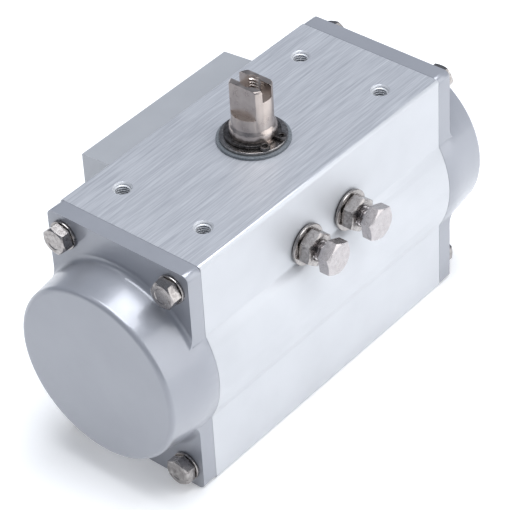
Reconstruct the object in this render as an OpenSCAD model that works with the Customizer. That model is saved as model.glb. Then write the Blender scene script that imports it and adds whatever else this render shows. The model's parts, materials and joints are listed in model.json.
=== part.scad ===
// Rotary pneumatic actuator: spring-return rack and pinion type, for a quarter-turn valve.
// Millimetres. Origin: centre of the valve mounting face, on the shaft's axis.
// +Z runs up the shaft, +X along the cylinder, -Y towards the two stop screws.
// Drawn at rest: no air, pistons together, shaft at 0 degrees.

/* [Housing] */
// Length of the extruded housing, between the end caps
housing_length = 108; // [104:1:116]
// Width over the flat side walls
housing_width = 52; // [51:0.5:54]
// Height from the valve mounting face to the top face
housing_height = 79; // [78:0.5:82]
// Diameter of the cylinder bore
bore_d = 50; // [49.5:0.1:50.5]
// Radius of the round sides that follow the bore
bulge_r = 30; // [29.5:0.1:30.5]
// Length of the port block, along the cylinder
block_length = 64; // [60:1:70]
// Distance from the shaft's axis to the face of the port block
block_face_y = 38.3; // [37:0.1:41]

/* [End caps] */
// Thickness of the cap's flange
flange_t = 5.5; // [5:0.1:7]
// Depth of the whole cap, from its joint to its end
cap_depth = 18.7; // [18:0.1:22]
// Radius of the cap's dome at its rim
dome_r = 28.7; // [28.4:0.1:29.2]
// Wall of the dome
dome_wall = 4; // [3:0.1:4.2]

/* [Rack and pinion] */
// Gear module
gear_module = 1.5; // [1.5:0.5:1.5]
// Number of teeth on the pinion
pinion_teeth = 12; // [12:1:12]
// Height of the pinion's toothed length
gear_height = 25; // [20:1:25]

/* [Shaft] */
// Height of the shaft's stub above the top face
stub_height = 20; // [18:1:24]
// Diameter of the stub
stub_d = 12.5; // [12:0.1:13]
// Distance across the stub's two flats
stub_flats = 8; // [7:0.5:9]
// Side of the square socket for the valve stem
socket_side = 11; // [9:0.5:11]

/* [Stop screws] */
// Distance between the two stop screws
stop_spacing = 19.7; // [19.5:0.1:20]
// Height of the stop screws above the valve mounting face
stop_z = 59; // [58.5:0.1:59.5]
// Distance from the shaft's axis to the end of a stop screw
stop_reach = 5; // [4.8:0.1:5.2]

/* [Hidden] */
$fn = 64;

// Common values
eps = 0.1;               // how far a cutter passes a face
slide_gap = 0.05;        // radial clearance of what slides or turns
seat_gap = 0.02;         // gap between still parts that touch
axis_z = housing_height / 2;
half_length = housing_length / 2;
half_width = housing_width / 2;
bore_r = bore_d / 2;
block_z = 53;            // middle of the port block's bolt pattern

// Housing details
edge_r = 1.2;            // rounding of the long edges
valley_r = 2;            // fillet between flat wall and round side
block_bottom_z = 30;
block_top_back_z = 75.8;
block_top_front_z = 77;
m5_r = 2.5;
m6_r = 3;
top_hole_x = 40;         // top interface, 80 x 30
top_hole_y = 15;
top_hole_depth = 9;
top_sink_r = 3;
flange_pcd = 42;         // valve flange F04
flange_hole_depth = 10;
spigot_r = 15;
spigot_depth = 1.2;
port_spacing = 24;
port_r = 4.3;
port_depth = 8;
block_hole_x = 16;       // block's fixing holes, 32 x 24
block_hole_z = 12;
block_hole_depth = 9;
gallery_y = 21.6;        // long air gallery to the spring chambers
gallery_z = 57.6;
gallery_r = 1.5;

// End caps
flange_edge_r = 2;
rim_r = 1.6;
root_r = 2;
groove = 0.12;           // parting groove between cap and housing, as wide as it is deep

// Cap screws
cap_screw_y = 20;
cap_screw_z = 33;
cap_screw_length = 20;
cap_hex = 7.8;
cap_head_h = 3.5;
cap_washer_r = 4.6;
cap_washer_t = 1;

// Shaft
pitch_r = gear_module * pinion_teeth / 2;
tip_r = pitch_r + gear_module;
gear_bottom_z = axis_z - gear_height / 2;
gear_top_z = axis_z + gear_height / 2;
lower_journal_r = 12.3;
lower_bore_r = 12.5;
upper_journal_r = 8.9;
upper_bore_r = 9.1;
pocket_top_z = 65.5;
cam_r = 12.3;
cam_bottom_z = 55.5;
cam_top_z = 63.8;
cam_hub_r = 8.5;
collar_r = 7;
collar_top_z = housing_height + 6.3;
flats_start = 10.3;       // from the top face to the foot of the flats
socket_depth = 16;
shaft_bottom_z = 1.5;
ring_groove_r = 10.9;
circlip_z = housing_height + 2;
circlip_t = 1;
washer_t = 1;
outer_ring_t = 0.9;

// Racks and pistons
rack_addendum = 0.7 * gear_module;
rack_root_y = tip_r + 0.35;
rack_half_height = 12.5;
rack_reach = 18.4;
piston_r = bore_r - 0.2;
piston_inner_x = 19.5;
piston_outer_x = 32.5;
spring_seat_x = 27.5;
piston_recess_r = 21.5;
arm_r = bore_r - 1;
pad_x = 9;
pad_length = 16;
pad_half_height = 6;
pad_floor_r = 22.4;
seal_x = 22.2;
seal_section = 2.6;
seal_floor_r = 22.3;
guide_x = 26.2;
guide_width = 4;
guide_floor_r = 23.6;
spring_end_x = half_length + cap_depth - dome_wall;

// Stop screws
stop_hex = 9.8;
nut_t = 4.2;
nut_front_y = 31.6;
stop_head_front_y = 38.5;
stop_head_h = 4;
stop_washer_r = 6.5;
stop_seal_r = 6.2;
stop_seal_t = 0.4;
spot_face_r = 6.7;

// ---------- helpers ----------

// Turns a drawing of (Y, Z) into a bar along X, from x0 to x1
module bar_x(x0, x1) {
    translate([x0, 0, 0]) rotate([90, 0, 90]) linear_extrude(x1 - x0) children();
}

// Round bar along X about the cylinder's axis
module round_x(x0, x1, r) {
    translate([x0, 0, axis_z]) rotate([0, 90, 0]) cylinder(h = x1 - x0, r = r);
}

// Body of revolution about the cylinder's axis, from a drawing of (radius, X)
module turned_x() {
    translate([0, 0, axis_z]) rotate([0, 90, 0]) rotate_extrude() children();
}

// Round bar along Y, from y0 to y1
module round_y(x, y0, y1, z, r) {
    translate([x, y0, z]) rotate([-90, 0, 0]) cylinder(h = y1 - y0, r = r);
}

// Ring about Z
module ring_z(z, h, inner_r, outer_r) {
    translate([0, 0, z]) difference() {
        cylinder(h = h, r = outer_r);
        translate([0, 0, -eps]) cylinder(h = h + 2 * eps, r = inner_r);
    }
}

// Half turn about the shaft's axis, which takes every left part to its right twin
module right_twin() {
    rotate([0, 0, 180]) children();
}

// Mirror image across the middle, for the parts that aren't turned
module mirrored_twin() {
    mirror([1, 0, 0]) children();
}

// Hexagon bar with chamfered corners, along Z from 0 up
module hex_bar(across, h, chamfer) {
    corner_r = across / 2 / cos(30);
    intersection() {
        cylinder(h = h, r = corner_r, $fn = 6);
        union() {
            cylinder(h = h - chamfer, r = corner_r + eps);
            translate([0, 0, h - chamfer])
                cylinder(h = chamfer, r1 = corner_r, r2 = corner_r - 1.6 * chamfer);
        }
    }
}

// ---------- housing ----------

// Rectangle about the cylinder's axis with rounded corners
module rounded_section(w, h, r) {
    translate([0, axis_z]) union() {
        square([w - 2 * r, h], center = true);
        square([w, h - 2 * r], center = true);
        for (sy = [-1, 1], sz = [-1, 1])
            translate([sy * (w / 2 - r), sz * (h / 2 - r)]) circle(r);
    }
}

// Section of housing and cap flange: a block with round sides that follow the bore,
// drawn smaller all round by inset
module outer_section(corner_r, inset = 0) {
    reach = bulge_r + valley_r;
    valley_y = half_width + valley_r;
    valley_z = sqrt(reach * reach - valley_y * valley_y);
    round_r = bulge_r - inset;
    touch_y = valley_y * round_r / reach;
    touch_z = valley_z * round_r / reach;
    union() {
        rounded_section(housing_width - 2 * inset, housing_height - 2 * inset, corner_r - inset);
        translate([0, axis_z]) circle(round_r);
        for (sy = [-1, 1], sz = [-1, 1])
            translate([0, axis_z]) mirror([sy > 0 ? 0 : 1, 0]) mirror([0, sz > 0 ? 0 : 1])
                difference() {
                    polygon([
                        [half_width - 1, touch_z],
                        [touch_y, touch_z],
                        [valley_y, valley_z],
                        [half_width - inset, valley_z],
                        [half_width - 1, valley_z]
                    ]);
                    translate([valley_y, valley_z]) circle(valley_r + inset);
                }
    }
}

module port_block_section() {
    polygon([
        [half_width - 3, block_bottom_z],
        [block_face_y, block_bottom_z],
        [block_face_y, block_top_back_z],
        [half_width, block_top_front_z],
        [half_width - 3, block_top_front_z]
    ]);
}

// Threaded hole with a countersunk mouth, drilled down from z = 0
module sunk_hole(r, depth, sink_r) {
    translate([0, 0, -depth]) cylinder(h = depth + eps, r = r);
    translate([0, 0, r - sink_r]) cylinder(h = sink_r - r + 0.001, r1 = r, r2 = sink_r);
}

module air_passages() {
    // pressure port, straight into the space between the pistons
    round_y(-port_spacing / 2, block_face_y - port_depth, block_face_y + eps, block_z, port_r);
    round_y(-port_spacing / 2, bore_r - 6, block_face_y, block_z, 2.5);
    // vent port, to the long gallery
    round_y(port_spacing / 2, block_face_y - port_depth, block_face_y + eps, block_z, port_r);
    round_y(port_spacing / 2, gallery_y, block_face_y - port_depth + eps, block_z + 2.6, 2);
    bar_x(-half_length - eps, half_length + eps)
        translate([gallery_y, gallery_z]) circle(gallery_r);
}

module fixing_holes() {
    for (sx = [-1, 1], sy = [-1, 1]) {
        translate([sx * top_hole_x, sy * top_hole_y, housing_height])
            sunk_hole(m5_r, top_hole_depth, top_sink_r);
        translate([sx * flange_pcd / 2 * cos(45), sy * flange_pcd / 2 * sin(45), 0])
            rotate([180, 0, 0]) sunk_hole(m5_r, flange_hole_depth, top_sink_r);
        translate([sx * block_hole_x, block_face_y, block_z + sy * block_hole_z]) rotate([-90, 0, 0])
            sunk_hole(m5_r, block_hole_depth, top_sink_r);
    }
    for (end = [-1, 1], sy = [-1, 1], sz = [-1, 1])
        translate([end * half_length, sy * cap_screw_y, axis_z + sz * cap_screw_z])
            rotate([0, end * 90, 0]) translate([0, 0, -cap_screw_length])
            cylinder(h = cap_screw_length + eps, r = m5_r + slide_gap);
    for (side = [-1, 1]) {
        round_y(side * stop_spacing / 2, -half_width - eps, -stop_reach, stop_z, m6_r + slide_gap);
        // spot face under the seal, where the round side would touch it
        round_y(side * stop_spacing / 2, -bulge_r, -half_width, stop_z, spot_face_r);
    }
}

module housing() {
    color("gainsboro") difference() {
        union() {
            bar_x(-half_length, half_length) outer_section(edge_r);
            bar_x(-block_length / 2, block_length / 2) port_block_section();
        }
        round_x(-half_length - eps, half_length + eps, bore_r);
        // shaft bore, straight from below up to the pocket over the cam
        translate([0, 0, -eps]) cylinder(h = pocket_top_z + eps, r = lower_bore_r);
        translate([0, 0, -eps]) cylinder(h = housing_height + 2 * eps, r = upper_bore_r);
        translate([0, 0, -eps]) cylinder(h = spigot_depth + eps, r = spigot_r);
        air_passages();
        fixing_holes();
    }
}

// ---------- end caps ----------

// Ring-shaped seal outline: around the bore, with a lobe around the gallery's mouth
module seal_outline(ring_r, lobe_r) {
    translate([0, axis_z]) circle(ring_r);
    translate([gallery_y, gallery_z]) circle(lobe_r);
}

seal_outer_r = bore_r + 2.6;
seal_inner_r = bore_r + 1.2;
lobe_outer_r = 3.3;
lobe_inner_r = 1.9;
seal_depth = 1.6;

module gasket_section(gap) {
    difference() {
        seal_outline(seal_outer_r + gap, lobe_outer_r + gap);
        seal_outline(seal_inner_r - gap, lobe_inner_r - gap);
    }
}

// Drafted wall and flat end of the dome, flush with the round sides of the flange
module dome() {
    foot_x = -half_length - flange_t;
    end_x = -half_length - cap_depth;
    turned_x() union() {
        polygon([
            [0, foot_x + flange_t / 2],
            [bulge_r - 1, foot_x + flange_t / 2],
            [bulge_r - 1, foot_x],
            [bulge_r, foot_x],
            [dome_r, end_x + rim_r],
            [dome_r - rim_r, end_x + rim_r],
            [dome_r - rim_r, end_x],
            [0, end_x]
        ]);
        translate([dome_r - rim_r, end_x + rim_r]) circle(rim_r);
    }
}

// Fillet between the dome's wall and the flange, tangent to both
module dome_root() {
    foot_x = -half_length - flange_t;
    draft = atan((bulge_r - dome_r) / (cap_depth - flange_t - rim_r));
    centre_r = bulge_r - root_r * tan(draft) + root_r / cos(draft);
    turned_x() difference() {
        polygon([
            [bulge_r - 1, foot_x + 1],
            [centre_r, foot_x + 1],
            [centre_r, foot_x - root_r],
            [centre_r - root_r * cos(draft), foot_x - root_r + root_r * sin(draft)],
            [bulge_r - 1, foot_x]
        ]);
        translate([centre_r, foot_x - root_r]) circle(root_r);
    }
}

module left_end_cap_body() {
    hollow_r = dome_r - dome_wall;
    hollow_end = -half_length - cap_depth + dome_wall;
    difference() {
        union() {
            bar_x(-half_length - flange_t, -half_length - groove) outer_section(flange_edge_r);
            bar_x(-half_length - groove - eps, -half_length) outer_section(flange_edge_r, groove);
            dome();
            intersection() {
                dome_root();
                bar_x(-half_length - cap_depth, -half_length - flange_t / 2)
                    rounded_section(housing_width, housing_height, flange_edge_r);
            }
        }
        round_x(hollow_end, -half_length + eps, hollow_r);
        bar_x(-half_length - seal_depth, -half_length + eps) gasket_section(seat_gap);
        // air channel from the gallery's mouth to the spring chamber
        bar_x(-half_length - 1, -half_length + eps) difference() {
            seal_outline(seal_inner_r - 0.5, lobe_inner_r - 0.4);
            translate([0, axis_z]) circle(bore_r - 2);
        }
        for (sy = [-1, 1], sz = [-1, 1])
            bar_x(-half_length - flange_t - eps, -half_length + eps)
                translate([sy * cap_screw_y, axis_z + sz * cap_screw_z]) circle(m5_r + 0.25);
    }
}

module left_cap_gasket() {
    bar_x(-half_length - seal_depth + seat_gap, -half_length) gasket_section(0);
}

// Turn of each of the four screw heads, in degrees
cap_head_turn = [30, 13, 21, 5];

module left_cap_screws() {
    seat_x = half_length + flange_t + cap_washer_t;
    for (i = [0:3]) {
        sy = i == 0 || i == 2 ? -1 : 1;
        sz = i < 2 ? 1 : -1;
        translate([-seat_x, sy * cap_screw_y, axis_z + sz * cap_screw_z]) rotate([0, -90, 0]) {
            rotate([0, 0, cap_head_turn[i]]) hex_bar(cap_hex, cap_head_h, 0.5);
            translate([0, 0, -cap_screw_length - flange_t + 2])
                cylinder(h = cap_screw_length + flange_t - 2 + eps, r = m5_r);
        }
    }
}

module left_cap_washers() {
    for (sy = [-1, 1], sz = [-1, 1])
        bar_x(-half_length - flange_t - cap_washer_t, -half_length - flange_t)
            translate([sy * cap_screw_y, axis_z + sz * cap_screw_z]) difference() {
                circle(cap_washer_r);
                circle(m5_r + 0.15);
            }
}

module end_cap_left() { color("slategray") left_end_cap_body(); }
module end_cap_right() { color("slategray") mirrored_twin() left_end_cap_body(); }
module cap_gasket_left() { color("dimgray") left_cap_gasket(); }
module cap_gasket_right() { color("dimgray") mirrored_twin() left_cap_gasket(); }
module cap_screws_left() { color("silver") left_cap_screws(); }
module cap_screws_right() { color("silver") mirrored_twin() left_cap_screws(); }
module cap_washers_left() { color("lightgray") left_cap_washers(); }
module cap_washers_right() { color("lightgray") mirrored_twin() left_cap_washers(); }

// ---------- pinion shaft ----------

pressure_angle = 20;
base_r = pitch_r * cos(pressure_angle);
backlash = 0.05;         // taken off each pinion flank at the pitch line
gear_root_r = pitch_r - rack_addendum - 0.25;

// Polar angle of the involute's point at radius r, in degrees
function involute_angle(r) = let(a = acos(base_r / r)) tan(a) * 180 / PI - a;
// Half of the angle that a tooth takes up at radius r
function half_tooth(r) =
    90 / pinion_teeth - backlash / pitch_r * 180 / PI
    + involute_angle(pitch_r) - involute_angle(max(r, base_r));
function polar(r, a) = [r * cos(a), r * sin(a)];

flank_steps = 5;
flank_radii = [for (i = [0:flank_steps]) base_r + (tip_r - base_r) * i / flank_steps];

module tooth_section() {
    lower = [for (r = concat([gear_root_r - 0.5], flank_radii)) polar(r, -half_tooth(r))];
    upper = [for (i = [flank_steps:-1:0]) polar(flank_radii[i], half_tooth(flank_radii[i]))];
    foot = [polar(gear_root_r - 0.5, half_tooth(base_r))];
    polygon(concat(lower, upper, foot));
}

module pinion_section() {
    union() {
        circle(gear_root_r);
        for (i = [0:pinion_teeth - 1]) rotate(i * 360 / pinion_teeth) tooth_section();
    }
}

// Cam: a quarter sector whose two flat faces meet the two stop screws
module cam_section() {
    circle(cam_hub_r);
    intersection() {
        circle(cam_r);
        translate([-stop_reach, -stop_reach]) square(2 * cam_r);
    }
}

module stub_flats_cut() {
    for (side = [0, 1]) mirror([side, 0, 0])
        translate([stub_flats / 2, -stub_d, housing_height + flats_start])
            cube([stub_d, 2 * stub_d, stub_height]);
}

module shaft_blank() {
    top_z = housing_height + stub_height;
    chamfer = 0.5;
    rotate_extrude() polygon([
        [0, shaft_bottom_z],
        [lower_journal_r - 0.4, shaft_bottom_z],
        [lower_journal_r, shaft_bottom_z + 0.4],
        [lower_journal_r, gear_bottom_z - 0.5],
        [gear_root_r, gear_bottom_z - 0.5],
        [gear_root_r, gear_top_z],
        [cam_hub_r - 0.6, gear_top_z + 1],
        [cam_hub_r - 0.6, cam_top_z],
        [upper_journal_r, cam_top_z],
        [upper_journal_r, housing_height - 0.3],
        [collar_r, housing_height - 0.3],
        [collar_r, collar_top_z - 0.9],
        [stub_d / 2, collar_top_z],
        [stub_d / 2, top_z - chamfer],
        [stub_d / 2 - chamfer, top_z],
        [0, top_z]
    ]);
}

ring_h = 4;              // height of a bearing ring
o_groove_h = 3;
lower_ring_z = 15;
lower_seal_z = 7;
upper_ring_z = 72.5;
upper_seal_z = 67.5;
upper_groove_r = 7.5;
o_section_r = 1;

module shaft_grooves() {
    ring_z(lower_ring_z, ring_h, ring_groove_r, lower_journal_r + eps);
    ring_z(lower_seal_z, o_groove_h, ring_groove_r - 0.5, lower_journal_r + eps);
    ring_z(upper_ring_z, ring_h, upper_groove_r, upper_journal_r + eps);
    ring_z(upper_seal_z, o_groove_h, upper_groove_r - 0.5, upper_journal_r + eps);
    ring_z(circlip_z, circlip_t + 0.1, collar_r - 0.6, collar_r + eps);
}

module pinion_shaft() {
    top_z = housing_height + stub_height;
    slot = 4;
    color("darkkhaki") difference() {
        union() {
            shaft_blank();
            translate([0, 0, gear_bottom_z - 0.5]) linear_extrude(gear_height + 0.5) pinion_section();
            translate([0, 0, cam_bottom_z]) linear_extrude(cam_top_z - cam_bottom_z) cam_section();
        }
        stub_flats_cut();
        shaft_grooves();
        translate([-slot / 2, -stub_d, top_z - slot]) cube([slot, 2 * stub_d, slot + eps]);
        translate([0, 0, top_z - 16]) cylinder(h = 16 + eps, r = m6_r);
        translate([-socket_side / 2, -socket_side / 2, 0])
            cube([socket_side, socket_side, shaft_bottom_z + socket_depth]);
    }
}

// O-ring about the shaft, outer_r at its widest
module shaft_o_ring(z, outer_r) {
    translate([0, 0, z]) rotate_extrude() translate([outer_r - o_section_r, 0]) circle(o_section_r);
}

// Split bearing ring about the shaft
module shaft_ring(z, inner_r, outer_r) {
    difference() {
        ring_z(z, ring_h - 0.1, inner_r, outer_r);
        translate([0, -0.6, z - eps]) cube([outer_r + 1, 1.2, ring_h + 2 * eps]);
    }
}

module upper_bearing_ring() {
    color("ivory") shaft_ring(upper_ring_z + 0.05, upper_groove_r + seat_gap, upper_bore_r - slide_gap);
}

module lower_bearing_ring() {
    color("ivory") shaft_ring(lower_ring_z + 0.05, ring_groove_r + seat_gap, lower_bore_r - slide_gap);
}

module upper_shaft_seal() {
    color("black") shaft_o_ring(upper_seal_z + o_groove_h / 2, upper_bore_r - slide_gap);
}

module lower_shaft_seal() {
    color("black") shaft_o_ring(lower_seal_z + o_groove_h / 2, lower_bore_r - slide_gap);
}

module inner_thrust_washer() {
    color("ivory") ring_z(cam_top_z + seat_gap, pocket_top_z - cam_top_z - 0.07,
        upper_journal_r + slide_gap, cam_r);
}

// Plastic ring on the top face, under the washer
module outer_thrust_ring() {
    color("dimgray") ring_z(housing_height, outer_ring_t, collar_r + 0.1, 11);
}

module shaft_washer() {
    color("silver") ring_z(housing_height + outer_ring_t + slide_gap, washer_t, collar_r + seat_gap, 10);
}

// Circlip: an open ring, widest opposite its gap, with two eyes for the pliers
module shaft_circlip() {
    eye_angle = 23;
    eye_x = collar_r + 1.6;
    gap_angle = 13;
    color("dimgray") translate([0, 0, circlip_z + 0.05]) rotate([0, 0, -95]) linear_extrude(circlip_t)
        difference() {
            union() {
                translate([-0.4, 0]) circle(collar_r + 1.4);
                for (side = [-1, 1]) rotate(side * eye_angle) translate([eye_x, 0]) circle(1.6);
            }
            circle(collar_r - 0.55);
            for (side = [-1, 1]) rotate(side * eye_angle) translate([eye_x, 0]) circle(0.85);
            polygon([[0, 0], polar(14, -gap_angle), polar(14, gap_angle)]);
        }
}

// ---------- pistons ----------

// Rack teeth along X that face the shaft; a gap of the pinion's tooth lies at x = 0
module rack_teeth_cut() {
    pitch = PI * gear_module;
    slope = tan(pressure_angle);
    tip_y = pitch_r - rack_addendum;
    depth = rack_root_y - tip_y;
    space = pitch / 2 + 2 * rack_addendum * slope;
    for (i = [-3:4])
        translate([i * pitch, tip_y]) polygon([
            [-space / 2 - eps * slope, -eps],
            [space / 2 + eps * slope, -eps],
            [space / 2 - depth * slope, depth],
            [-space / 2 + depth * slope, depth]
        ]);
}

// Left piston: its head lies at -X, and its rack passes the shaft on the +Y side
module left_piston_body() {
    arm_tip_y = pitch_r - rack_addendum;
    difference() {
        union() {
            round_x(-piston_outer_x, -piston_inner_x, piston_r);
            intersection() {
                round_x(-piston_inner_x - 1, rack_reach, arm_r);
                translate([-piston_inner_x - 1, arm_tip_y, axis_z - rack_half_height])
                    cube([piston_inner_x + 1 + rack_reach, bore_r, 2 * rack_half_height]);
            }
        }
        translate([0, 0, axis_z - rack_half_height - eps])
            linear_extrude(2 * (rack_half_height + eps)) rack_teeth_cut();
        // seat for the springs
        round_x(-piston_outer_x - eps, -spring_seat_x, piston_recess_r);
        // grooves for seal and guide ring
        turned_x() {
            translate([seal_floor_r, -seal_x - 1.6]) square([3, 3.2]);
            translate([guide_floor_r, -guide_x - guide_width / 2]) square([3, guide_width]);
        }
        rack_pad_pocket();
    }
}

// Curved strip in the back of the rack; gap widens it to make its pocket
module rack_pad_shape(gap, outer_r) {
    x0 = pad_x - pad_length / 2 - gap;
    intersection() {
        difference() {
            round_x(x0, x0 + pad_length + 2 * gap, outer_r);
            round_x(x0 - eps, x0 + pad_length + 2 * gap + eps, pad_floor_r - gap);
        }
        translate([x0, 0, axis_z - pad_half_height - gap])
            cube([pad_length + 2 * gap, bore_r + 1, 2 * (pad_half_height + gap)]);
    }
}

module rack_pad_pocket() {
    rack_pad_shape(seat_gap, bore_r + 0.5);
}

module left_piston_seal() {
    outer_r = bore_r - 0.03;
    turned_x() translate([outer_r - seal_section / 2, -seal_x]) circle(seal_section / 2);
}

module left_piston_guide() {
    turned_x() translate([guide_floor_r + seat_gap, -guide_x - guide_width / 2 + seat_gap])
        square([bore_r - slide_gap - guide_floor_r - seat_gap, guide_width - 2 * seat_gap]);
}

module left_rack_pad() {
    rack_pad_shape(0, bore_r - slide_gap);
}

module piston_left() { color("lightsteelblue") left_piston_body(); }
module piston_right() { color("lightsteelblue") right_twin() left_piston_body(); }
module piston_seal_left() { color("black") left_piston_seal(); }
module piston_seal_right() { color("black") right_twin() left_piston_seal(); }
module piston_guide_left() { color("ivory") left_piston_guide(); }
module piston_guide_right() { color("ivory") right_twin() left_piston_guide(); }
module rack_pad_left() { color("ivory") left_rack_pad(); }
module rack_pad_right() { color("ivory") right_twin() left_rack_pad(); }

// ---------- springs ----------

coil_sides = 8;
coil_steps = 20;         // rings in one turn

// Height of the coil's centre line: the first and last turns lie close, the rest are spread
function coil_rise(t, turns, wire, span) =
    let(s = t * turns, close = 1.04 * wire)
    s < 1 ? close * s
    : s > turns - 1 ? span - close * (turns - s)
    : close + (span - 2 * close) * (s - 1) / (turns - 2);
// Point k of ring t on the wire's skin
function coil_skin(t, k, turns, mean_r, wire, span) =
    let(a = 360 * turns * t, b = 360 * k / coil_sides, r = mean_r + wire / 2 * cos(b))
    [r * cos(a), r * sin(a), coil_rise(t, turns, wire, span) + wire / 2 * sin(b)];

module coil_spring(x0, x1, mean_r, wire, turns, hand) {
    rings = round(turns * coil_steps);
    span = x1 - x0 - wire;
    points = [for (i = [0:rings], k = [0:coil_sides - 1])
        coil_skin(i / rings, k, turns, mean_r, wire, span)];
    skin = [for (i = [0:rings - 1], k = [0:coil_sides - 1])
        let(k2 = (k + 1) % coil_sides, a = i * coil_sides, b = a + coil_sides)
        [a + k, b + k, b + k2, a + k2]];
    first_end = [[for (k = [0:coil_sides - 1]) k]];
    last_end = [[for (k = [coil_sides - 1:-1:0]) rings * coil_sides + k]];
    translate([x0 + wire / 2, 0, axis_z]) rotate([0, 90, 0]) mirror([0, hand, 0])
        polyhedron(points, concat(skin, first_end, last_end), convexity = 10);
}

module left_outer_spring() {
    coil_spring(-spring_end_x + slide_gap, -spring_seat_x - slide_gap, 18, 3, 6, 0);
}

module left_inner_spring() {
    coil_spring(-spring_end_x + slide_gap, -spring_seat_x - slide_gap, 12, 2.4, 7, 1);
}

module outer_spring_left() { color("goldenrod") left_outer_spring(); }
module outer_spring_right() { color("goldenrod") right_twin() left_outer_spring(); }
module inner_spring_left() { color("orange") left_inner_spring(); }
module inner_spring_right() { color("orange") right_twin() left_inner_spring(); }

// ---------- stop screws ----------

// Hexagon screw along Y, whose end stops the cam; turn is the angle of its head
module stop_screw(x, turn) {
    tip_y = -stop_reach - seat_gap;
    head_y = -stop_head_front_y + stop_head_h;
    round_y(x, head_y - eps, tip_y - 2.5, stop_z, m6_r);
    round_y(x, tip_y - 3, tip_y, stop_z, 2);
    translate([x, head_y, stop_z]) rotate([90, 0, 0]) rotate([0, 0, 30 + turn])
        hex_bar(stop_hex, stop_head_h, 0.6);
}

module stop_screw_closed() { color("silver") stop_screw(stop_spacing / 2, 8); }
module stop_screw_open() { color("silver") stop_screw(-stop_spacing / 2, 6); }

module stop_lock_nuts() {
    nut_turn = -8;
    color("silver") for (side = [-1, 1])
        translate([side * stop_spacing / 2, -nut_front_y + nut_t, stop_z]) rotate([90, 0, 0])
            difference() {
                rotate([0, 0, 30 + nut_turn]) hex_bar(stop_hex, nut_t, 0.5);
                translate([0, 0, -eps]) cylinder(h = nut_t + 2 * eps, r = m6_r + slide_gap);
            }
}

module stop_ring(y0, y1, inner_r, outer_r) {
    for (side = [-1, 1]) difference() {
        round_y(side * stop_spacing / 2, y0, y1, stop_z, outer_r);
        round_y(side * stop_spacing / 2, y0 - eps, y1 + eps, stop_z, inner_r);
    }
}

module stop_washers() {
    color("lightgray") stop_ring(-nut_front_y + nut_t, -half_width - stop_seal_t, m6_r + 0.2, stop_washer_r);
}

module stop_seals() {
    color("black") stop_ring(-half_width - stop_seal_t, -half_width, m6_r + slide_gap, stop_seal_r);
}

housing();
end_cap_left();
end_cap_right();
cap_gasket_left();
cap_gasket_right();
cap_screws_left();
cap_screws_right();
cap_washers_left();
cap_washers_right();
pinion_shaft();
upper_bearing_ring();
lower_bearing_ring();
upper_shaft_seal();
lower_shaft_seal();
inner_thrust_washer();
outer_thrust_ring();
shaft_washer();
shaft_circlip();
piston_left();
piston_right();
piston_seal_left();
piston_seal_right();
piston_guide_left();
piston_guide_right();
rack_pad_left();
rack_pad_right();
outer_spring_left();
outer_spring_right();
inner_spring_left();
inner_spring_right();
stop_screw_closed();
stop_screw_open();
stop_lock_nuts();
stop_washers();
stop_seals();
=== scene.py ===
"""The looks of the rotary pneumatic actuator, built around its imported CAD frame."""

import json
import math

import bmesh
import bpy
from mathutils import Matrix, Vector


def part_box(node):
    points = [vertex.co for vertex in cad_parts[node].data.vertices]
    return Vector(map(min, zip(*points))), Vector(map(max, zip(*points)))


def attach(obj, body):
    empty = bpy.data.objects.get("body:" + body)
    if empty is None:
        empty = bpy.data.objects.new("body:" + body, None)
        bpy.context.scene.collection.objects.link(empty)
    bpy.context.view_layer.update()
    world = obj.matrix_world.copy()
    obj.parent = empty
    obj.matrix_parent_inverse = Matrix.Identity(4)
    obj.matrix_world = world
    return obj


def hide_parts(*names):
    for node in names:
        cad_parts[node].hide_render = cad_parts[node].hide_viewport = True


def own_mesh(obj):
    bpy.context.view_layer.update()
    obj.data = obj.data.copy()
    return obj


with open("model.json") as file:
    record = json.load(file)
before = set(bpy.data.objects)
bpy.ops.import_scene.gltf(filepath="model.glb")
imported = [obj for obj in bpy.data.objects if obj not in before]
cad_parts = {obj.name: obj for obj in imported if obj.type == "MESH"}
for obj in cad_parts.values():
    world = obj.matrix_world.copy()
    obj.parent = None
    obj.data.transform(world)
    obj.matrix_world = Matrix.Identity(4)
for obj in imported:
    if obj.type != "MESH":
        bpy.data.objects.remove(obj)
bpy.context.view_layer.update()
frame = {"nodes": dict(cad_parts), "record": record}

MM = 0.001
NODES = frame["nodes"]
HOUSING_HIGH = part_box("housing")[1]
TOP_Z = HOUSING_HIGH.z
AXIS_Z = TOP_Z / 2
BLOCK_FACE_Y = HOUSING_HIGH.y
BLOCK_START_Y = 26.5 * MM


# ---------- camera, floor and light ----------

CAMERA_TARGET = Vector((15.49, 16.17, 17.67)) * MM
CAMERA_DISTANCE = 800 * MM
CAMERA_AZIMUTH = -48.17
CAMERA_ELEVATION = 39.01
CAMERA_ROLL = -3.5
CAMERA_LENS = 182.6


def direction(azimuth, elevation):
    """Unit vector towards a viewer at that azimuth and elevation, in degrees."""
    a, e = math.radians(azimuth), math.radians(elevation)
    return Vector((math.sin(a) * math.cos(e), -math.cos(a) * math.cos(e), math.sin(e)))


def make_camera():
    data = bpy.data.cameras.new("camera")
    data.lens = CAMERA_LENS
    data.clip_start = 0.05
    data.clip_end = 20
    camera = bpy.data.objects.new("camera", data)
    bpy.context.scene.collection.objects.link(camera)
    back = direction(CAMERA_AZIMUTH, CAMERA_ELEVATION)
    roll = math.radians(CAMERA_ROLL)
    level_right = Vector((0, 0, 1)).cross(back).normalized()
    level_up = back.cross(level_right)
    right = math.cos(roll) * level_right + math.sin(roll) * level_up
    up = math.cos(roll) * level_up - math.sin(roll) * level_right
    turn = Matrix((right, up, back)).transposed()
    camera.matrix_world = Matrix.Translation(CAMERA_TARGET + back * CAMERA_DISTANCE) @ turn.to_4x4()
    bpy.context.scene.camera = camera


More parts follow.
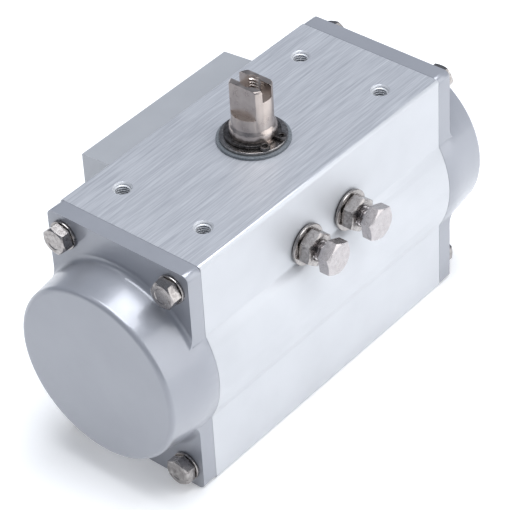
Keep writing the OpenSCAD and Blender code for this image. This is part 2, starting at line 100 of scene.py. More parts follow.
def soft_light(name, azimuth, elevation, distance, size, power, colour=(1, 1, 1)):
    """Square softbox that looks at the object from that side."""
    data = bpy.data.lights.new(name, "AREA")
    data.shape = "SQUARE"
    data.size = size
    data.energy = power
    data.color = colour
    light = bpy.data.objects.new(name, data)
    bpy.context.scene.collection.objects.link(light)
    back = direction(azimuth, elevation)
    light.location = Vector((0, 0, AXIS_Z)) + back * distance
    light.rotation_mode = "QUATERNION"
    light.rotation_quaternion = back.to_track_quat("Z", "Y")


def make_world(colour, strength):
    world = bpy.data.worlds.new("studio")
    world.use_nodes = True
    background = world.node_tree.nodes["Background"]
    background.inputs["Color"].default_value = (*colour, 1)
    background.inputs["Strength"].default_value = strength
    bpy.context.scene.world = world


def make_floor():
    half = 3
    mesh = bpy.data.meshes.new("floor")
    corners = [(-half, -half, 0), (half, -half, 0), (half, half, 0), (-half, half, 0)]
    mesh.from_pydata(corners, [], [(0, 1, 2, 3)])
    floor = bpy.data.objects.new("floor", mesh)
    bpy.context.scene.collection.objects.link(floor)
    material, _, shader = new_material("studio_floor", (0.92, 0.92, 0.92), 0, 0.9)
    shader.inputs["Emission Color"].default_value = (1, 1, 1, 1)
    shader.inputs["Emission Strength"].default_value = 0.26
    mesh.materials.append(material)


def make_studio():
    bpy.context.scene.view_settings.view_transform = "Standard"
    make_world((0.74, 0.83, 1.0), 0.27)
    soft_light("key", 24, 20, 1.2, 1.1, 7.2)
    soft_light("overhead", 60, 84, 1.2, 0.9, 16, (0.95, 0.97, 1))
    soft_light("left_back", -138, 46, 1.2, 0.5, 0.7)
    make_floor()


# ---------- materials ----------


def new_material(name, colour, metallic, roughness):
    """A Principled material; returns (material, node tree, shader)."""
    material = bpy.data.materials.new(name)
    material.use_nodes = True
    tree = material.node_tree
    shader = tree.nodes["Principled BSDF"]
    shader.inputs["Base Color"].default_value = (*colour, 1)
    shader.inputs["Metallic"].default_value = metallic
    shader.inputs["Roughness"].default_value = roughness
    return material, tree, shader


def place(tree):
    """The point on the object, in the frame's metres."""
    found = tree.nodes.get("place")
    if found is None:
        found = tree.nodes.new("ShaderNodeTexCoord")
        found.name = "place"
    return found.outputs["Object"]


def noise(tree, feature, stretch=(1, 1, 1), detail=3, distortion=0):
    """Noise whose features are about that many metres across, drawn out along stretch."""
    mapping = tree.nodes.new("ShaderNodeMapping")
    mapping.inputs["Scale"].default_value = [1 / (feature * s) for s in stretch]
    texture = tree.nodes.new("ShaderNodeTexNoise")
    texture.inputs["Scale"].default_value = 1
    texture.inputs["Detail"].default_value = detail
    texture.inputs["Distortion"].default_value = distortion
    tree.links.new(place(tree), mapping.inputs["Vector"])
    tree.links.new(mapping.outputs["Vector"], texture.inputs["Vector"])
    return texture.outputs["Fac"]


def turned_lines(tree, pitch, axis):
    """Fine rings about a straight axis, as a lathe leaves them."""
    bands_per_unit = 3.2  # what a wave texture shows at scale 1
    wave = tree.nodes.new("ShaderNodeTexWave")
    wave.bands_direction = axis
    wave.inputs["Scale"].default_value = 1 / (pitch * bands_per_unit)
    wave.inputs["Distortion"].default_value = 1.5
    wave.inputs["Detail"].default_value = 2
    tree.links.new(place(tree), wave.inputs["Vector"])
    return wave.outputs["Fac"]


def to_range(tree, value, low, high, start=0.3, end=0.7):
    """A value between start and end, mapped to low and high."""
    node = tree.nodes.new("ShaderNodeMapRange")
    node.inputs["From Min"].default_value = start
    node.inputs["From Max"].default_value = end
    node.inputs["To Min"].default_value = low
    node.inputs["To Max"].default_value = high
    tree.links.new(value, node.inputs["Value"])
    return node.outputs["Result"]


def calculate(tree, operation, first, second):
    """Math node on two inputs, either of which may be a number."""
    node = tree.nodes.new("ShaderNodeMath")
    node.operation = operation
    for socket, value in zip(node.inputs, (first, second)):
        if isinstance(value, (int, float)):
            socket.default_value = value
        else:
            tree.links.new(value, socket)
    return node.outputs["Value"]


def mix_numbers(tree, factor, first, second):
    """first where factor is 0, second where it is 1. A Mix node's sockets are told apart by
    their places, because each type of value has its own A and B."""
    node = tree.nodes.new("ShaderNodeMix")
    node.data_type = "FLOAT"
    for socket, value in zip((node.inputs[0], node.inputs[2], node.inputs[3]), (factor, first, second)):
        if isinstance(value, (int, float)):
            socket.default_value = value
        else:
            tree.links.new(value, socket)
    return node.outputs[0]


def mix_colours(tree, factor, first, second):
    """Colour between first and second, each three numbers or a socket."""
    node = tree.nodes.new("ShaderNodeMix")
    node.data_type = "RGBA"
    tree.links.new(factor, node.inputs[0])
    for socket, value in zip((node.inputs[6], node.inputs[7]), (first, second)):
        if isinstance(value, tuple):
            socket.default_value = (*value, 1)
        else:
            tree.links.new(value, socket)
    return node.outputs[2]


def bump(tree, shader, height, distance):
    """Adds relief of that many metres to a shader, on top of what it has."""
    node = tree.nodes.new("ShaderNodeBump")
    node.inputs["Distance"].default_value = distance
    tree.links.new(height, node.inputs["Height"])
    before = shader.inputs["Normal"].links
    if before:
        tree.links.new(before[0].from_socket, node.inputs["Normal"])
    tree.links.new(node.outputs["Normal"], shader.inputs["Normal"])


def above(tree, axis, limit):
    """1 where the point's coordinate along axis is over limit, else 0."""
    split = tree.nodes.new("ShaderNodeSeparateXYZ")
    tree.links.new(place(tree), split.inputs["Vector"])
    return calculate(tree, "GREATER_THAN", split.outputs[axis], limit)


def housing_finish():
    """Bead-blasted, anodised aluminium; the top face is milled in long lines along the cylinder."""
    material, tree, shader = new_material("anodised_aluminium", (0.6, 0.61, 0.635), 0.45, 0.45)
    on_top = above(tree, "Z", TOP_Z - 0.1 * MM)
    broad_lines = to_range(tree, noise(tree, 0.9 * MM, stretch=(17, 1, 1), detail=4), 0, 1, 0.34, 0.66)
    fine_lines = to_range(tree, noise(tree, 0.4 * MM, stretch=(26, 1, 1), detail=3), 0, 1, 0.34, 0.66)
    lines = mix_numbers(tree, 0.6, broad_lines, fine_lines)
    grain = noise(tree, 0.28 * MM, detail=4)
    cloud = noise(tree, 14 * MM, detail=2)
    milled = mix_colours(tree, lines, (0.4, 0.413, 0.45), (0.66, 0.675, 0.71))
    sides = mix_colours(tree, to_range(tree, cloud, 0, 1), (0.6, 0.612, 0.635), (0.63, 0.642, 0.665))
    cut = mix_colours(tree, to_range(tree, cloud, 0, 1), (0.45, 0.462, 0.485), (0.49, 0.502, 0.525))
    extruded = mix_colours(tree, above(tree, "Y", BLOCK_START_Y), sides, cut)
    tree.links.new(mix_colours(tree, on_top, extruded, milled), shader.inputs["Base Color"])
    milled_gloss = to_range(tree, lines, 0.42, 0.3, 0, 1)
    blasted_gloss = to_range(tree, grain, 0.46, 0.54)
    tree.links.new(mix_numbers(tree, on_top, blasted_gloss, milled_gloss), shader.inputs["Roughness"])
    bump(tree, shader, calculate(tree, "MULTIPLY", lines, on_top), 0.015 * MM)
    bump(tree, shader, grain, 0.008 * MM)
    return material


def cap_finish():
    """Die-cast caps under a smooth satin coat."""
    material, tree, shader = new_material("coated_cap", (0.4, 0.413, 0.45), 0.3, 0.33)
    shader.inputs["Coat Weight"].default_value = 0.5
    shader.inputs["Coat Roughness"].default_value = 0.12
    peel = noise(tree, 2.2 * MM, detail=2)
    cloud = noise(tree, 18 * MM, detail=2)
    colour = mix_colours(tree, to_range(tree, cloud, 0, 1), (0.325, 0.336, 0.371), (0.347, 0.358, 0.393))
    tree.links.new(colour, shader.inputs["Base Color"])
    tree.links.new(to_range(tree, peel, 0.3, 0.36), shader.inputs["Roughness"])
    bump(tree, shader, peel, 0.012 * MM)
    return material


def nickel_finish():
    """Electroless nickel on a turned shaft, warm and bright."""
    material, tree, shader = new_material("nickel_plate", (0.55, 0.49, 0.455), 1, 0.3)
    rings = turned_lines(tree, 0.35 * MM, "Z")
    smear = noise(tree, 3 * MM, detail=4)
    colour = mix_colours(tree, to_range(tree, smear, 0, 1), (0.44, 0.385, 0.355), (0.56, 0.5, 0.465))
    tree.links.new(colour, shader.inputs["Base Color"])
    tree.links.new(to_range(tree, smear, 0.24, 0.38), shader.inputs["Roughness"])
    bump(tree, shader, rings, 0.006 * MM)
    return material


def screw_finish(name, dark, light):
    """Cold-formed screw steel: bright edges on a softly mottled skin."""
    material, tree, shader = new_material(name, dark, 1, 0.26)
    mottle = noise(tree, 1.3 * MM, detail=4, distortion=0.6)
    dimple = noise(tree, 0.6 * MM, detail=2)
    colour = mix_colours(tree, to_range(tree, mottle, 0, 1), dark, light)
    tree.links.new(colour, shader.inputs["Base Color"])
    tree.links.new(to_range(tree, mottle, 0.3, 0.2), shader.inputs["Roughness"])
    bump(tree, shader, dimple, 0.003 * MM)
    return material


def washer_finish():
    """Rolled and tumbled steel washers."""
    material, tree, shader = new_material("washer_steel", (0.3, 0.28, 0.27), 1, 0.24)
    tumbled = noise(tree, 1.1 * MM, detail=3)
    colour = mix_colours(tree, to_range(tree, tumbled, 0, 1), (0.3, 0.28, 0.27), (0.42, 0.398, 0.385))
    tree.links.new(colour, shader.inputs["Base Color"])
    tree.links.new(to_range(tree, tumbled, 0.18, 0.3), shader.inputs["Roughness"])
    bump(tree, shader, tumbled, 0.003 * MM)
    return material


def spring_clip_finish():
    """Phosphated spring steel, nearly black."""
    material, tree, shader = new_material("phosphated_steel", (0.09, 0.085, 0.085), 0.9, 0.3)
    patches = noise(tree, 1.2 * MM, detail=4)
    colour = mix_colours(tree, to_range(tree, patches, 0, 1), (0.06, 0.056, 0.055), (0.15, 0.14, 0.138))
    tree.links.new(colour, shader.inputs["Base Color"])
    tree.links.new(to_range(tree, patches, 0.24, 0.36), shader.inputs["Roughness"])
    bump(tree, shader, patches, 0.003 * MM)
    return material


def plastic_finish(name, dark, light, gloss):
    """Moulded or turned plastic with a slightly uneven skin."""
    material, tree, shader = new_material(name, dark, 0, gloss)
    skin = noise(tree, 0.7 * MM, detail=4)
    tree.links.new(mix_colours(tree, to_range(tree, skin, 0, 1), dark, light), shader.inputs["Base Color"])
    tree.links.new(to_range(tree, skin, gloss - 0.05, gloss + 0.07), shader.inputs["Roughness"])
    bump(tree, shader, skin, 0.01 * MM)
    return material


def rubber_finish():
    """Black nitrile rubber."""
    material, tree, shader = new_material("black_rubber", (0.02, 0.02, 0.022), 0, 0.62)
    shader.inputs["Specular IOR Level"].default_value = 0.35
    skin = noise(tree, 0.5 * MM, detail=4)
    tree.links.new(mix_colours(tree, skin, (0.014, 0.014, 0.016), (0.035, 0.035, 0.038)),
                   shader.inputs["Base Color"])
    tree.links.new(to_range(tree, skin, 0.55, 0.7), shader.inputs["Roughness"])
    bump(tree, shader, skin, 0.015 * MM)
    return material


def cast_finish():
    """Die-cast aluminium pistons."""
    material, tree, shader = new_material("cast_aluminium", (0.62, 0.63, 0.65), 0.85, 0.42)
    skin = noise(tree, 0.6 * MM, detail=5)
    flow = noise(tree, 9 * MM, detail=3, distortion=1)
    colour = mix_colours(tree, to_range(tree, flow, 0, 1), (0.54, 0.55, 0.57), (0.68, 0.69, 0.71))
    tree.links.new(colour, shader.inputs["Base Color"])
    tree.links.new(to_range(tree, skin, 0.36, 0.52), shader.inputs["Roughness"])
    bump(tree, shader, skin, 0.02 * MM)
    return material


def spring_finish():
    """Coated spring steel with drawing marks along the wire."""
    material, tree, shader = new_material("coated_spring_wire", (0.16, 0.2, 0.27), 0.35, 0.4)
    skin = noise(tree, 0.8 * MM, detail=4)
    colour = mix_colours(tree, to_range(tree, skin, 0, 1), (0.12, 0.155, 0.215), (0.2, 0.245, 0.32))
    tree.links.new(colour, shader.inputs["Base Color"])
    tree.links.new(to_range(tree, skin, 0.34, 0.46), shader.inputs["Roughness"])
    bump(tree, shader, skin, 0.01 * MM)
    return material


def make_finishes():
    """One material for each of the record's slots, and a darker copy of the screw steel that paints shade
    onto the cap screws and lock nuts.
    """
    return {
        "anodised_housing": housing_finish(),
        "painted_cap": cap_finish(),
        "rubber_seal": rubber_finish(),
        "stainless_screw": screw_finish("stainless_steel", (0.43, 0.405, 0.405), (0.52, 0.49, 0.49)),
        # painted shade: the same screw steel made darker, for the cap screws and lock nuts
        "painted_shade_screw": screw_finish("painted_shade_screw_steel", (0.25, 0.232, 0.226), (0.46, 0.436, 0.422)),
        "steel_washer": washer_finish(),
        "nickel_shaft": nickel_finish(),
        "spring_steel_clip": spring_clip_finish(),
        "grey_plastic": plastic_finish("grey_acetal", (0.13, 0.145, 0.16), (0.18, 0.195, 0.21), 0.28),
        "bearing_plastic": plastic_finish("bearing_acetal", (0.68, 0.66, 0.58), (0.76, 0.74, 0.67), 0.38),
        "cast_piston": cast_finish(),
        "coated_spring": spring_finish(),
    }


# ---------- mesh helpers ----------

ROUND = 72  # points round a lofted piece: a multiple of 12, so that hexagon corners fall on points


def ring(bm, radius_of, height_of, count=ROUND):
    """A closed ring of points about Z; both arguments give a value for an angle."""
    points = []
    for i in range(count):
        angle = 2 * math.pi * i / count
        radius = radius_of(angle)
        points.append(bm.verts.new((radius * math.cos(angle), radius * math.sin(angle), height_of(angle))))
    return points


def bridge(bm, lower, upper):
    """Quads between two rings of as many points."""
    count = len(lower)
    for i in range(count):
        j = (i + 1) % count
        bm.faces.new((lower[i], lower[j], upper[j], upper[i]))


def loft(bm, rings, hollow=False):
    """Skin over rings in turn; the ends are closed, or joined to each other if hollow."""
    for lower, upper in zip(rings, rings[1:]):
        bridge(bm, lower, upper)
    if hollow:
        bridge(bm, rings[-1], rings[0])
    else:
        bm.faces.new(reversed(rings[0]))
        bm.faces.new(rings[-1])


def lathe(bm, profile, hollow=False, count=ROUND):
    """Body of revolution about Z from (radius, height) pairs."""
    rings = [ring(bm, lambda a, r=r: r, lambda a, z=z: z, count) for r, z in profile]
    loft(bm, rings, hollow)


def hexagon(across):
    """The radius of a hexagon about Z for an angle, with a flat facing the angle 0."""
    sixth = math.pi / 3

    def radius(angle):
        return across / 2 / math.cos((angle + sixth / 2) % sixth - sixth / 2)

    return radius


CHAMFER_SLOPE = math.tan(math.radians(30))
FACE_SHARE = 0.47  # radius of a hexagon's flat face, as a share of its width across flats


def chamfered(across, face_radius, height):
    """The height of a hexagon's edge for an angle, where a cone from face_radius cuts it."""
    radius = hexagon(across)
    return lambda angle: height - CHAMFER_SLOPE * max(0, radius(angle) - face_radius)


def hex_head(bm, across, height, dish_depth):
    """Screw head from Z = 0 up: washer face, hexagon, chamfer and a dished top."""
    flat = FACE_SHARE * across
    dish = 0.33 * across
    washer_face = 0.03 * across
    radius = hexagon(across)
    top_edge = chamfered(across, flat, height)
    rings = [
        ring(bm, lambda a: flat, lambda a: 0),
        ring(bm, lambda a: flat, lambda a: washer_face),
        ring(bm, radius, lambda a: washer_face),
        ring(bm, radius, top_edge),
        ring(bm, lambda a: flat, lambda a: height),
        ring(bm, lambda a: dish, lambda a: height),
        ring(bm, lambda a: 0.9 * dish, lambda a: height - dish_depth),
    ]
    loft(bm, rings)


# ---------- threads ----------

FLANK_START = 0.25     # shares of one turn, from the root's start
CREST_START = 0.5625
CREST_END = 0.6875
OUTER_DEPTH = 0.6134   # depth of a thread, as a share of its pitch
INNER_DEPTH = 0.5
THREAD_SEGMENTS = 36
THREAD_SHELL = 0.3 * MM  # how far the back of a hole's thread lies in the wall
THREAD_INSET = 0.02 * MM
MERGE_DISTANCE = 1e-7


def thread_grid(bm, crest, root, pitch, start, end, edge):
    """Rows of points along a helix about Z, from start to end. edge gives the radius that the thread
    may have at a distance from the nearer end, so that it runs out into a chamfer."""
    segments = THREAD_SEGMENTS
    profile = [(0, root), (FLANK_START, root), (CREST_START, crest), (CREST_END, crest)]
    turns = math.ceil((end - start) / pitch) + 1
    rows = []
    for turn in range(-1, turns):
        for share, radius in profile:
            row = []
            for i in range(segments + 1):
                angle = 2 * math.pi * i / segments
                height = start + pitch * (turn + share + i / segments)
                height = min(max(height, start), end)
                limited = edge(radius, min(height - start, end - height))
                point = (limited * math.cos(angle), limited * math.sin(angle), height)
                row.append(bm.verts.new(point))
            rows.append(row)
    grid_faces(bm, rows)
    bmesh.ops.remove_doubles(bm, verts=[point for row in rows for point in row], dist=MERGE_DISTANCE)


def grid_faces(bm, rows):
    """Quads between rows of as many points."""
    for lower, upper in zip(rows, rows[1:]):
        for i in range(len(lower) - 1):
            bm.faces.new((lower[i], lower[i + 1], upper[i + 1], upper[i]))


def outer_thread(bm, radius, pitch, start, end):
    """Threaded rod about Z with chamfered, closed ends."""
    root = radius - OUTER_DEPTH * pitch
    thread_grid(bm, radius, root, pitch, start, end, lambda r, d: min(r, root + d))
    close_ends(bm, start, end)


def close_ends(bm, start, end):
    """Fills the two end circles of a threaded rod."""
    for height in (start, end):
        edges = [
            e for e in bm.edges
            if e.is_boundary and all(abs(v.co.z - height) < MERGE_DISTANCE for v in e.verts)
        ]
        bmesh.ops.contextual_create(bm, geom=edges)


def inner_thread(bm, radius, pitch, start, end):
    """Sleeve about Z with a thread inside; its crests stand inwards from a hole of that radius."""
    wall = radius + THREAD_INSET
    crest = radius - INNER_DEPTH * pitch
    behind = radius + THREAD_SHELL
    thread_grid(bm, crest, wall, pitch, start, end, lambda r, d: max(r, wall - d))
    profile = [(wall, start), (behind, start), (behind, end), (wall, end)]
    rings = [ring(bm, lambda a, r=r: r, lambda a, z=z: z, THREAD_SEGMENTS) for r, z in profile]
    for lower, upper in zip(rings, rings[1:]):
        bridge(bm, lower, upper)
    bmesh.ops.remove_doubles(bm, verts=bm.verts, dist=MERGE_DISTANCE)


def thread_radius(phase, crest, root):
    """Radius of a thread at that share of a turn."""
    phase %= 1
    if phase < FLANK_START:
        return root
    if phase < CREST_START:
        return root + (crest - root) * (phase - FLANK_START) / (CREST_START - FLANK_START)
    if phase < CREST_END:
        return crest
    return crest + (root - crest) * (phase - CREST_END) / (1 - CREST_END)


def rims(rows):
    """The four borders of a grid of points."""
    return [rows[0], rows[-1], [row[0] for row in rows], [row[-1] for row in rows]]


def thread_strip(bm, radius, pitch, start, end, middle, half_angle):
    """Part of an inner thread: a strip about Z that reaches half_angle to each side of middle."""
    across, per_turn = 14, 12
    count = math.ceil((end - start) / pitch * per_turn)
    wall = radius + THREAD_INSET
    crest = radius - INNER_DEPTH * pitch
    front, back = [], []
    for j in range(count + 1):
        height = start + (end - start) * j / count
        front_row, back_row = [], []
        for i in range(across + 1):
            angle = middle + half_angle * (2 * i / across - 1)
            x, y = math.cos(angle), math.sin(angle)
            groove = thread_radius(height / pitch - angle / (2 * math.pi), crest, wall)
            near = max(groove, wall - (end - height))
            far = wall + THREAD_SHELL
            front_row.append(bm.verts.new((near * x, near * y, height)))
            back_row.append(bm.verts.new((far * x, far * y, height)))
        front.append(front_row)
        back.append(back_row)
    grid_faces(bm, front)
    grid_faces(bm, back)
    for near_rim, far_rim in zip(rims(front), rims(back)):
        grid_faces(bm, [near_rim, far_rim])


# ---------- placing ----------


def moved(bm, build, matrix):
    """Builds a part about Z and moves what is new to where matrix says."""
    before = set(bm.verts)
    build(bm)
    bmesh.ops.transform(bm, matrix=matrix, verts=[v for v in bm.verts if v not in before])


def finished(name, bm, body, slot, replaced=(), sharp_degrees=28, finish=None):
    """Makes the object, shades it, and gives it its material and its place in the frame.
    The finish is that of the slot, unless another is named."""
    bmesh.ops.dissolve_degenerate(bm, edges=bm.edges, dist=1e-8)
    bmesh.ops.recalc_face_normals(bm, faces=bm.faces)
    mesh = bpy.data.meshes.new(name)
    bm.to_mesh(mesh)
    bm.free()
    for polygon in mesh.polygons:
        polygon.use_smooth = True
    mesh.set_sharp_from_angle(angle=math.radians(sharp_degrees))
    piece = bpy.data.objects.new(name, mesh)
    bpy.context.scene.collection.objects.link(piece)
    mesh.materials.append(FINISHES[finish or slot])
    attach(piece, body)
    if replaced:
        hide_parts(*replaced)
    return piece


def pointing(axis, origin, turn_degrees=0):
    """Matrix that lays a part's Z along axis at that origin, after a turn about its own Z."""
    lay = Vector(axis).to_track_quat("Z", "Y").to_matrix().to_4x4()
    return Matrix.Translation(Vector(origin)) @ lay @ Matrix.Rotation(math.radians(turn_degrees), 4, "Z")


# ---------- fasteners ----------

CAP_SCREW_Y = 20 * MM
CAP_SCREW_Z = 33 * MM
CAP_HEAD_HEIGHT = 3.5 * MM
CAP_HEX = 7.8 * MM
CAP_SCREW_RADIUS = 2.5 * MM
CAP_SCREW_PITCH = 0.8 * MM
CAP_SCREW_CORNERS = ((-1, 1), (1, 1), (-1, -1), (1, -1))
CAP_HEAD_TURNS = (30, 13, 0, 5)  # degrees, in the corners' order
CAP_HEAD_DISH = 0.15 * MM
SHANK_SHARE = 0.3  # the plain part of a cap screw, as a share of its length
OVERLAP = 0.1 * MM  # how far two parts of one screw reach into each other


def make_cap_screws(side, end):
    """The four screws of one cap; end is -1 at the left and 1 at the right."""
    low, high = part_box(f"cap_screws_{side}")
    outside, inside = (low.x, high.x) if end < 0 else (high.x, low.x)
    seat = outside - end * CAP_HEAD_HEIGHT
    length = abs(seat - inside)
    shank = SHANK_SHARE * length
    bm = bmesh.new()

    def screw(bm):
        hex_head(bm, CAP_HEX, CAP_HEAD_HEIGHT, CAP_HEAD_DISH)
        lathe(bm, [(CAP_SCREW_RADIUS, -shank), (CAP_SCREW_RADIUS, OVERLAP)])
        outer_thread(bm, CAP_SCREW_RADIUS, CAP_SCREW_PITCH, -length, -shank)

    for (sy, sz), turn in zip(CAP_SCREW_CORNERS, CAP_HEAD_TURNS):
        corner = (seat, sy * CAP_SCREW_Y, AXIS_Z + sz * CAP_SCREW_Z)
        moved(bm, screw, pointing((end, 0, 0), corner, turn))
    # the cap screws take the darker copy of the screw steel: painted shade
    finished(f"{side}_cap_screws", bm, "housing", "stainless_screw", [f"cap_screws_{side}"],
             finish="painted_shade_screw")


STOP_HEX = 9.8 * MM
STOP_HEAD_HEIGHT = 4 * MM
STOP_HEAD_DISH = 0.04 * MM
STOP_RADIUS = 3 * MM
STOP_PITCH = 1 * MM
STOP_TIP_RADIUS = 2 * MM
STOP_TIP_LENGTH = 2.5 * MM
STOP_SPACING = 19.7 * MM
STOP_Z = 59 * MM
STOP_CLOSED_TURN = 8  # degrees, like the two turns below
STOP_OPEN_TURN = 6
NUT_TURN = -8


def make_stop_screw(which, side, turn):
    """One of the two end stops: hexagon head, long thread and a plain tip."""
    node = f"stop_screw_{which}"
    low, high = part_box(node)
    length = high.y - low.y - STOP_HEAD_HEIGHT
    thread_end = -length + STOP_TIP_LENGTH
    tip_chamfer = 0.4 * MM
    bm = bmesh.new()

    def screw(bm):
        hex_head(bm, STOP_HEX, STOP_HEAD_HEIGHT, STOP_HEAD_DISH)
        outer_thread(bm, STOP_RADIUS, STOP_PITCH, thread_end, OVERLAP)
        lathe(bm, [
            (STOP_TIP_RADIUS - tip_chamfer, -length),
            (STOP_TIP_RADIUS, -length + tip_chamfer),
            (STOP_TIP_RADIUS, thread_end + 2 * OVERLAP),
        ])

    head_seat = (side * STOP_SPACING / 2, low.y + STOP_HEAD_HEIGHT, STOP_Z)
    moved(bm, screw, pointing((0, -1, 0), head_seat, turn))
    finished(f"{which}_stop_screw", bm, node, "stainless_screw", [node])


def hex_nut(bm):
    """Thin hexagon nut about Z, chamfered on both faces."""
    low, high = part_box("stop_lock_nuts")
    height = high.y - low.y
    flat = FACE_SHARE * STOP_HEX
    hole = STOP_RADIUS + 0.06 * MM
    mouth = STOP_RADIUS + 0.45 * MM
    bevel = 0.35 * MM
    radius = hexagon(STOP_HEX)
    top_edge = chamfered(STOP_HEX, flat, height)
    rings = [
        ring(bm, lambda a: mouth, lambda a: 0),
        ring(bm, lambda a: flat, lambda a: 0),
        ring(bm, radius, lambda a: height - top_edge(a)),
        ring(bm, radius, top_edge),
        ring(bm, lambda a: flat, lambda a: height),
        ring(bm, lambda a: mouth, lambda a: height),
        ring(bm, lambda a: hole, lambda a: height - bevel),
        ring(bm, lambda a: hole, lambda a: bevel),
    ]
    loft(bm, rings, hollow=True)


def make_lock_nuts():
    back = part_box("stop_lock_nuts")[1].y
    bm = bmesh.new()
    for side in (-1, 1):
        moved(bm, hex_nut, pointing((0, -1, 0), (side * STOP_SPACING / 2, back, STOP_Z), NUT_TURN))
    # the lock nuts take the darker copy of the screw steel: painted shade
    finished("lock_nuts", bm, "housing", "stainless_screw", ["stop_lock_nuts"], finish="painted_shade_screw")


# ---------- threads in the holes ----------

M5_RADIUS = 2.5 * MM
M5_PITCH = 0.8 * MM
M6_RADIUS = 3 * MM
M6_PITCH = 1 * MM
G18_RADIUS = 4.3 * MM
G18_PITCH = 0.907 * MM
TOP_HOLE_X = 40 * MM
TOP_HOLE_Y = 15 * MM
FLANGE_CIRCLE = 42 * MM
BLOCK_Z = 53 * MM
BLOCK_HOLE_X = 16 * MM
BLOCK_HOLE_Z = 12 * MM
PORT_X = 12 * MM
SINK = 0.6 * MM  # where a hole's thread starts below its face
PORT_SINK = 0.3 * MM
SLOT_DEPTH = 4 * MM
SLOT_WIDTH = 4 * MM


def make_hole_threads(name, body, slot, radius, pitch, depth, axis, mouths, sink):
    """Threads in holes of one kind; each mouth is the middle of a hole in its face."""
    bm = bmesh.new()
    for mouth in mouths:
        moved(bm, lambda b: inner_thread(b, radius, pitch, -depth, -sink), pointing(axis, mouth))
    finished(name, bm, body, slot)


def make_all_hole_threads():
    corners = [(sx, sy) for sx in (-1, 1) for sy in (-1, 1)]
    flange = FLANGE_CIRCLE / 2 * math.cos(math.pi / 4)
    make_hole_threads(
        "top_hole_threads", "housing", "anodised_housing", M5_RADIUS, M5_PITCH, 8.5 * MM, (0, 0, 1),
        [(sx * TOP_HOLE_X, sy * TOP_HOLE_Y, TOP_Z) for sx, sy in corners], SINK)
    make_hole_threads(
        "flange_hole_threads", "housing", "anodised_housing", M5_RADIUS, M5_PITCH, 9.5 * MM, (0, 0, -1),
        [(sx * flange, sy * flange, 0) for sx, sy in corners], SINK)
    make_hole_threads(
        "block_hole_threads", "housing", "anodised_housing", M5_RADIUS, M5_PITCH, 8.5 * MM, (0, 1, 0),
        [(sx * BLOCK_HOLE_X, BLOCK_FACE_Y, BLOCK_Z + sz * BLOCK_HOLE_Z) for sx, sz in corners], SINK)
    make_hole_threads(
        "port_threads", "housing", "anodised_housing", G18_RADIUS, G18_PITCH, 7.5 * MM, (0, 1, 0),
        [(side * PORT_X, BLOCK_FACE_Y, BLOCK_Z) for side in (-1, 1)], PORT_SINK)
    stub_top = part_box("pinion_shaft")[1].z
    make_hole_threads(
        "shaft_end_thread", "drive_shaft", "nickel_shaft", M6_RADIUS, M6_PITCH, 15.5 * MM, (0, 0, 1),
        [(0, 0, stub_top)], SLOT_DEPTH + 0.2 * MM)
    make_slot_threads(stub_top)


def make_slot_threads(stub_top):
    """The shaft end's thread goes on in the two walls of its slot."""
    reach = math.acos(SLOT_WIDTH / 2 / M6_RADIUS) - math.radians(1)
    bm = bmesh.new()
    for middle in (0, math.pi):
        thread_strip(bm, M6_RADIUS, M6_PITCH, stub_top - SLOT_DEPTH, stub_top - 0.3 * MM, middle, reach)
    finished("slot_threads", bm, "drive_shaft", "nickel_shaft")


# ---------- springs ----------

SPRINGS = (("outer", 18 * MM, 3 * MM, 6), ("inner", 12 * MM, 2.4 * MM, 7))


def coil_height(turn, turns, wire, span):
    """Height of the wire's middle: the end turns lie close and are ground flat, the rest are spread."""
    if turn < 1:
        return wire * turn
    if turn > turns - 1:
        return span - wire * (turns - turn)
    return wire + (span - 2 * wire) * (turn - 1) / (turns - 2)


def coil(bm, mean, wire, turns, span, hand):
    """Compression spring about Z, from 0 to span, with ground ends."""
    steps, sides = 48, 14
    rows = []
    for i in range(turns * steps + 1):
        turn = i / steps
        angle = 2 * math.pi * turn * hand
        middle = coil_height(turn, turns, wire, span)
        row = []
        for k in range(sides):
            around = 2 * math.pi * k / sides
            radius = mean + wire / 2 * math.cos(around)
            height = min(max(middle + wire / 2 * math.sin(around), 0), span)
            row.append(bm.verts.new((radius * math.cos(angle), radius * math.sin(angle), height)))
        rows.append(row)
    for lower, upper in zip(rows, rows[1:]):
        bridge(bm, lower, upper)
    bm.faces.new(rows[0])
    bm.faces.new(reversed(rows[-1]))


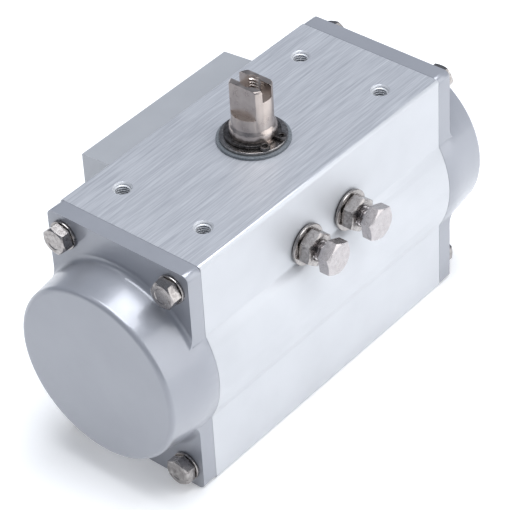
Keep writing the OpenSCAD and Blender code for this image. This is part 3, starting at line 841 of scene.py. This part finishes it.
def make_springs():
    """Each spring is held by its cap, at the length its CAD node has."""
    for side, end in (("left", -1), ("right", 1)):
        for name, mean, wire, turns in SPRINGS:
            node = f"{name}_spring_{side}"
            low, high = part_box(node)
            span = high.x - low.x
            foot = low.x if end < 0 else high.x
            hand = -1 if name == "inner" else 1
            bm = bmesh.new()
            moved(bm, lambda b: coil(b, mean, wire, turns, span, hand),
                  pointing((-end, 0, 0), (foot, 0, AXIS_Z)))
            piece = finished(f"{side}_{name}_coil", bm, "housing", "coated_spring", [node], 50)
            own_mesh(piece)


# ---------- CAD nodes ----------

EDGE_WIDTHS = {
    "housing": 0.18 * MM,
    "end_cap_left": 0.2 * MM,
    "end_cap_right": 0.2 * MM,
    "pinion_shaft": 0.12 * MM,
    "outer_thrust_ring": 0.12 * MM,
    "shaft_washer": 0.15 * MM,
    "shaft_circlip": 0.12 * MM,
    "stop_washers": 0.2 * MM,
    "stop_seals": 0.15 * MM,
    "cap_washers_left": 0.15 * MM,
    "cap_washers_right": 0.15 * MM,
}


def soften_edges(node, width):
    """Small rounding of a CAD node's sharp edges, which breaks the light as real edges do."""
    weld = node.modifiers.new("weld", "WELD")
    weld.merge_threshold = 1e-6
    bevel = node.modifiers.new("edges", "BEVEL")
    bevel.width = width
    bevel.segments = 2
    bevel.limit_method = "ANGLE"
    bevel.angle_limit = math.radians(40)
    bevel.harden_normals = True


def dress_cad_nodes():
    """Gives each CAD node its finish by its material slot, and the visible ones soft edges."""
    slots = {part["node"]: part["material_slot"] for part in frame["record"]["subparts"]}
    for name, node in NODES.items():
        for slot in node.material_slots:
            slot.material = FINISHES[slots[name]]
    for name, width in EDGE_WIDTHS.items():
        soften_edges(NODES[name], width)


# ---------- the scene ----------

make_camera()
FINISHES = make_finishes()
make_studio()
dress_cad_nodes()
make_cap_screws("left", -1)
make_cap_screws("right", 1)
make_stop_screw("closed", 1, STOP_CLOSED_TURN)
make_stop_screw("open", -1, STOP_OPEN_TURN)
make_lock_nuts()
make_all_hole_threads()
make_springs()
